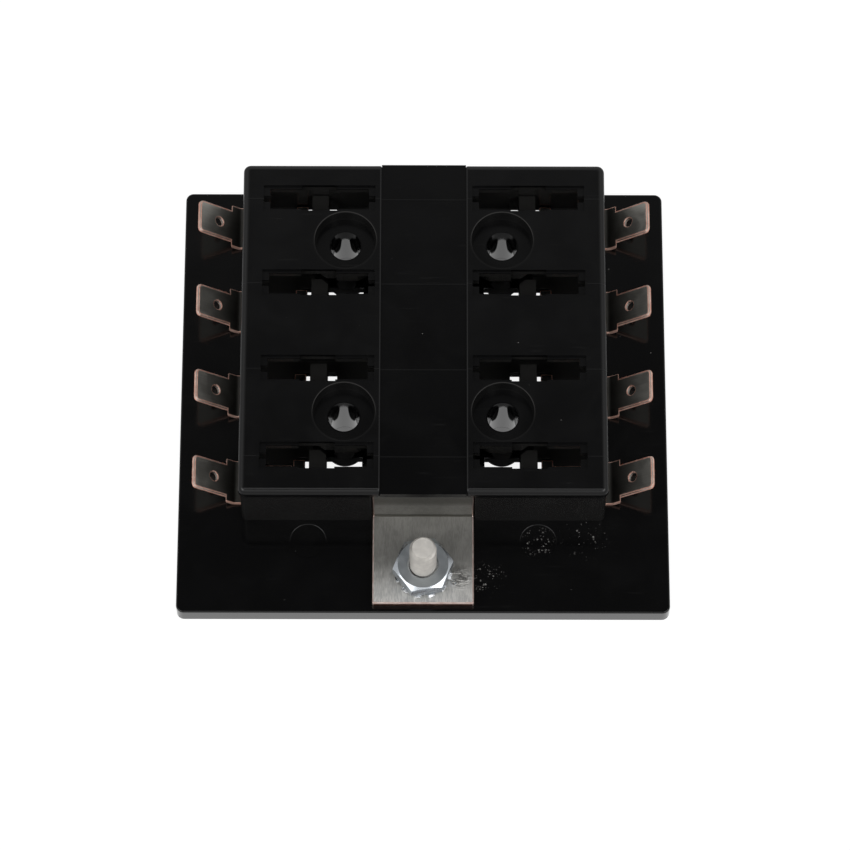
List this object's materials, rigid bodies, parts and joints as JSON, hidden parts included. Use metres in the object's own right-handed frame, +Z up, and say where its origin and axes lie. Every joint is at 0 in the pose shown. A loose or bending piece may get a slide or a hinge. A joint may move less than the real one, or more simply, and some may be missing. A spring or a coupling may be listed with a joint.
{
  "type": "fuse block",
  "caption": "Moulded block for plug-in blade fuses: slotted cover on a base plate, common feed stud and bus bar at the front, quick-connect tabs at the sides.",
  "frame": {"origin": "centre of the base plate's underside, on the surface it stands on", "axes": "+Z up out of the fuse slots, +X to the right along the base plate's long side, +Y away from the stud"},
  "size_m": [0.0884, 0.083, 0.0173],
  "materials": {
    "housing": "black moulded thermoplastic, glossy",
    "bus_copper": "tin-plated copper, brushed, bare at its cut edges",
    "terminal_copper": "tin-plated copper, bare at its cut edges",
    "clip_brass": "tin-plated spring brass",
    "stud_steel": "plated steel, dull, threaded",
    "zinc_steel": "bright zinc-plated steel"
  },
  "bodies": {
    "block": {"base_plate": "housing", "top_cover": "housing", "bus_bar": "bus_copper", "bus_clip_left_1": "clip_brass", "bus_clip_left_2": "clip_brass", "bus_clip_left_3": "clip_brass", "bus_clip_left_4": "clip_brass", "bus_clip_right_1": "clip_brass", "bus_clip_right_2": "clip_brass", "bus_clip_right_3": "clip_brass", "bus_clip_right_4": "clip_brass", "blade_terminal_left_1": "terminal_copper", "blade_terminal_left_2": "terminal_copper", "blade_terminal_left_3": "terminal_copper", "blade_terminal_left_4": "terminal_copper", "blade_terminal_right_1": "terminal_copper", "blade_terminal_right_2": "terminal_copper", "blade_terminal_right_3": "terminal_copper", "blade_terminal_right_4": "terminal_copper", "clip_rivets": "clip_brass", "power_stud": "stud_steel"},
    "washer": {"tooth_washer": "zinc_steel"},
    "nut": {"hex_nut": "zinc_steel"}
  },
  "joints": [
    {"name": "nut_lift", "type": "slide", "parent": "block", "child": "washer", "axis": [0, 0, 1], "range_m": [0, 0.00714]},
    {"name": "nut_spin", "type": "hinge", "parent": "washer", "child": "nut", "pos_m": [0, -0.0344, 0.0077], "axis": [0, 0, 1], "range_deg": [0, 3240]}
  ],
  "couplings": [
    {"joint": "nut_spin", "follows": "nut_lift", "rad_per_m": 7915.8}
  ]
}
